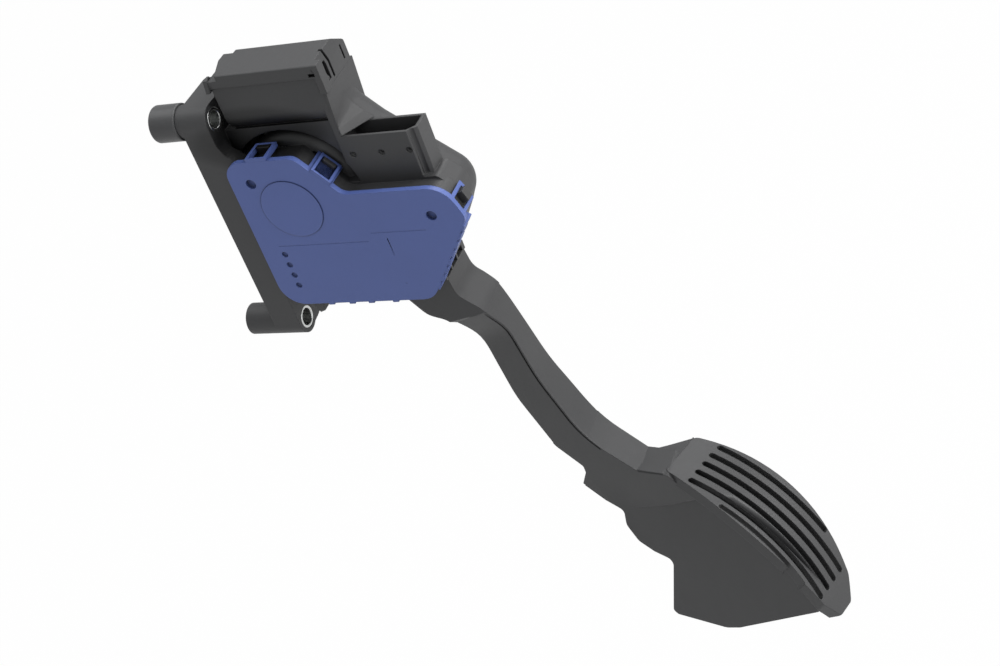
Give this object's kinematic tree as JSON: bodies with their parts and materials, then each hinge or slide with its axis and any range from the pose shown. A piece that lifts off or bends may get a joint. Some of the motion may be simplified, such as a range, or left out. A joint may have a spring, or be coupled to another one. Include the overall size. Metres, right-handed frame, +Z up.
{
  "type": "accelerator pedal",
  "caption": "Car accelerator pedal module with a moulded housing, sensor cover, upright connector, spring chamber and a curved arm with a slotted foot pad.",
  "frame": {"origin": "middle of the two bolt holes, on the plane that the bosses rest on against the bulkhead", "axes": "+X out of the bulkhead towards the driver, +Z up along the line of the bolt holes, +Y along the pivot shaft, away from the sensor cover"},
  "size_m": [0.2338, 0.0566, 0.2907],
  "materials": {
    "black_moulding": "satin, glass filled",
    "spacer_moulding": "satin",
    "blue_moulding": "satin",
    "black_rubber": "matt",
    "zinc_plated_steel": "bright plated",
    "ground_steel": "ground",
    "bearing_bronze": "plain",
    "green_board": "solder resist",
    "chip_black": "moulded",
    "tinned_brass": "tin plated",
    "spring_steel": "oiled wire",
    "natural_nylon": "natural",
    "magnet_grey": "sintered",
    "friction_tan": "low wear"
  },
  "bodies": {
    "housing": {"pedal_housing": "black_moulding", "spring_chamber_lid": "black_moulding", "sensor_cover": "blue_moulding", "sensor_cover_seal": "black_rubber", "upper_mount_sleeve": "zinc_plated_steel", "lower_mount_sleeve": "zinc_plated_steel", "upper_mount_spacer": "spacer_moulding", "near_pivot_bush": "bearing_bronze", "far_pivot_bush": "bearing_bronze", "far_bearing_cap": "black_moulding", "sensor_circuit_board": "green_board", "position_sensor_chips": "chip_black", "connector_pins": "tinned_brass", "rest_stop_bumper": "black_rubber", "full_travel_bumper": "black_rubber", "outer_return_spring": "spring_steel", "inner_return_spring": "spring_steel"},
    "arm": {"pedal_arm": "black_moulding", "pivot_shaft": "ground_steel", "sensor_rotor": "natural_nylon", "rotor_magnet": "magnet_grey"},
    "spring_slider": {"spring_seat": "natural_nylon", "near_friction_shoe": "friction_tan", "far_friction_shoe": "friction_tan"}
  },
  "joints": [
    {"name": "pedal_press", "type": "hinge", "parent": "housing", "child": "arm", "pos_m": [0.0497, 0.01325, 0.0118], "axis": [0, 1, 0], "range_deg": [0, 15], "stiffness_Nm_per_rad": 16, "springref_deg": -14.32},
    {"name": "seat_slide", "type": "slide", "parent": "housing", "child": "spring_slider", "axis": [1, 0, 0], "range_m": [0, 0.0125], "deforming": ["outer_return_spring", "inner_return_spring"]}
  ],
  "couplings": [
    {"joint": "seat_slide", "follows": "pedal_press", "m_per_rad": 0.04404}
  ]
}
